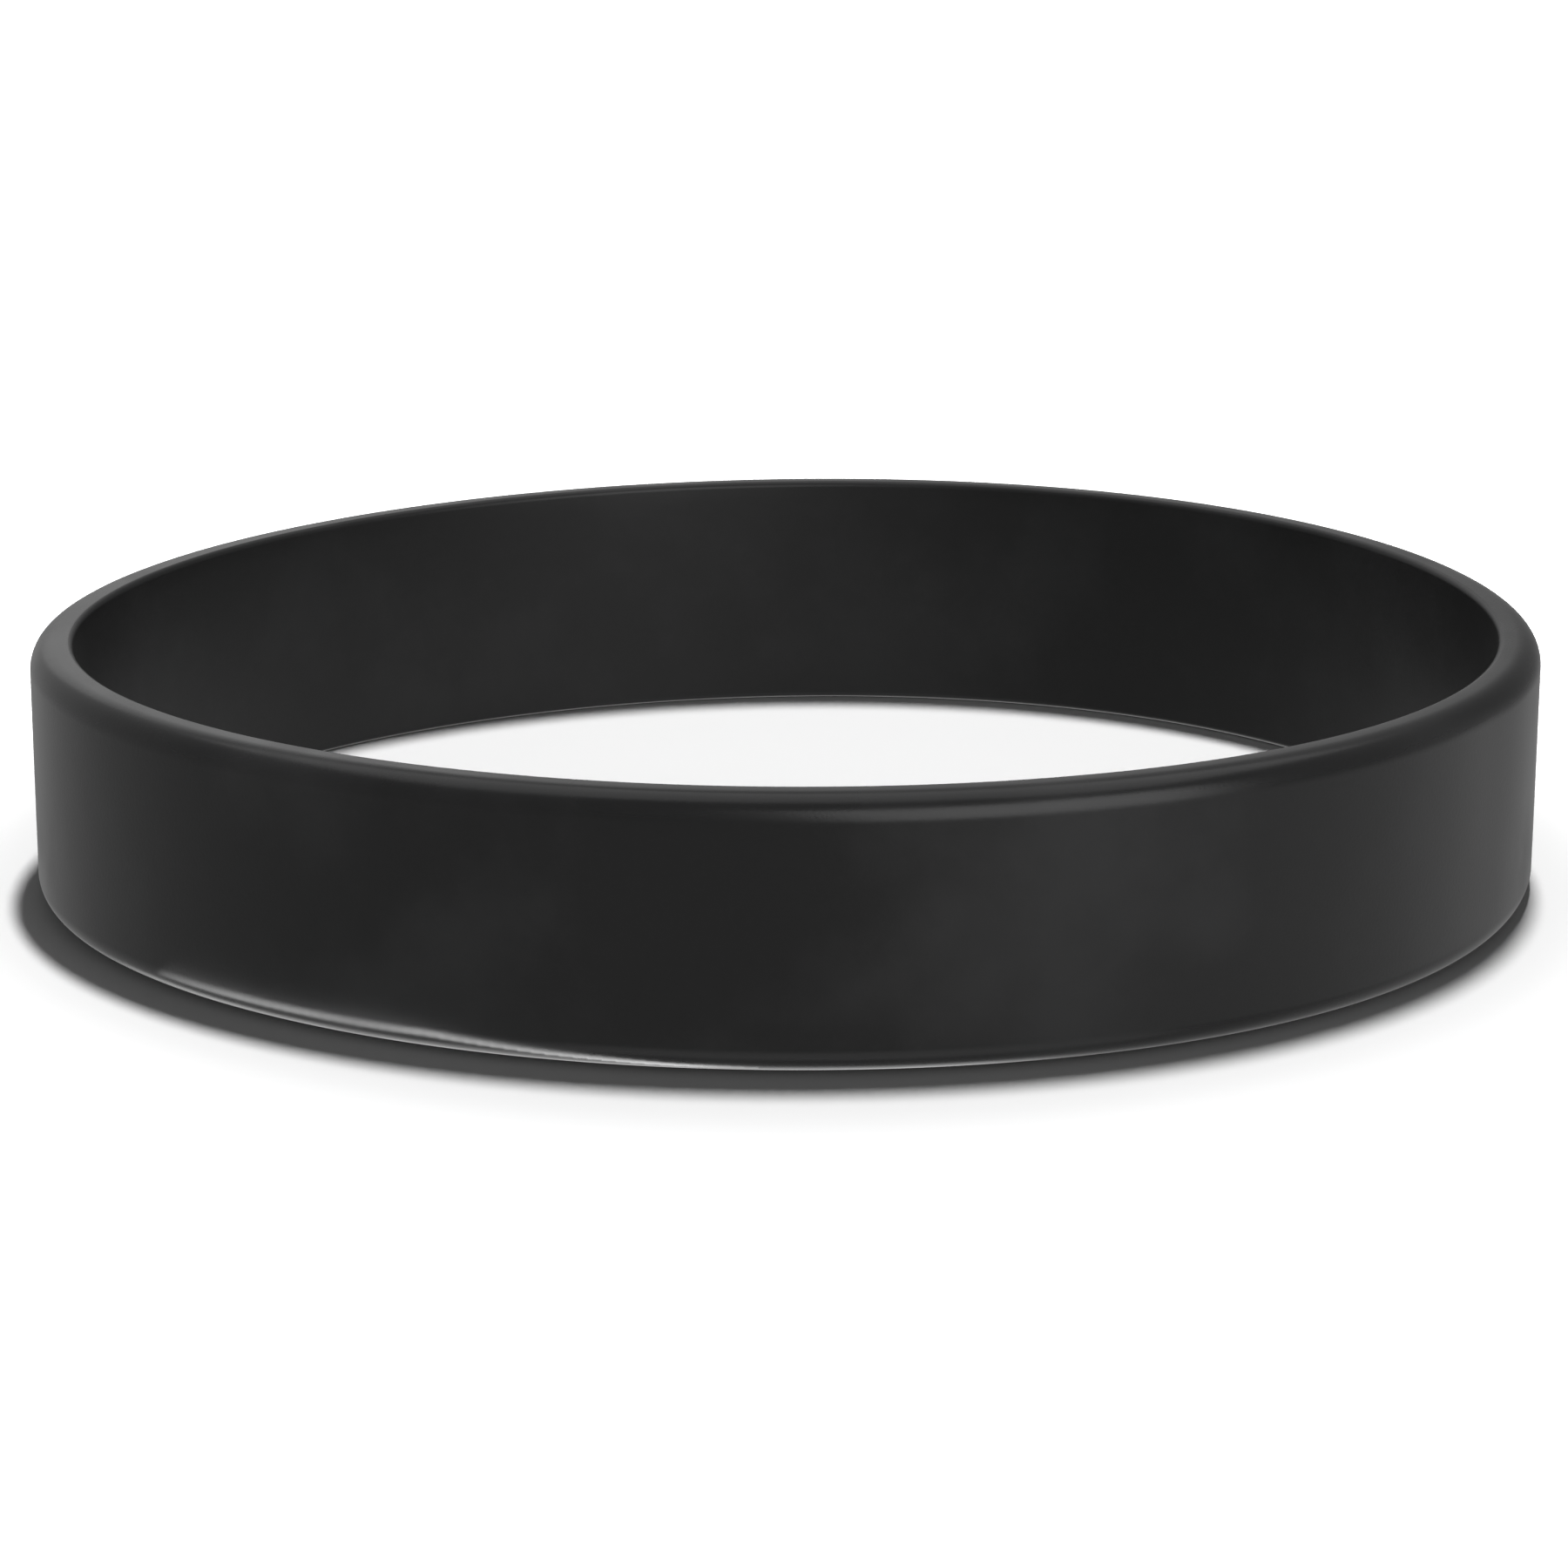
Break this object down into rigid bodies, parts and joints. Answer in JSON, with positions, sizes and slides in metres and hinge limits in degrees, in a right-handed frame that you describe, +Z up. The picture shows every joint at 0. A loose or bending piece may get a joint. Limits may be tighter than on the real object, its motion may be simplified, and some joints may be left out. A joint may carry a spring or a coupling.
{
  "type": "silicone wristband",
  "caption": "Plain black satin silicone wristband: a seamless, slightly oval moulded ring with rounded rims, lying on its side.",
  "frame": {"origin": "under the middle of the ring's outline, on the surface that the lower rim rests on", "axes": "+Z up through the bore; +X along the longer way of the resting oval, towards its blunter end; +Y across it"},
  "size_m": [0.071, 0.0656, 0.012],
  "materials": {
    "black_silicone": "satin moulded silicone"
  },
  "bodies": {
    "root": {"wristband": "black_silicone"}
  },
  "joints": []
}
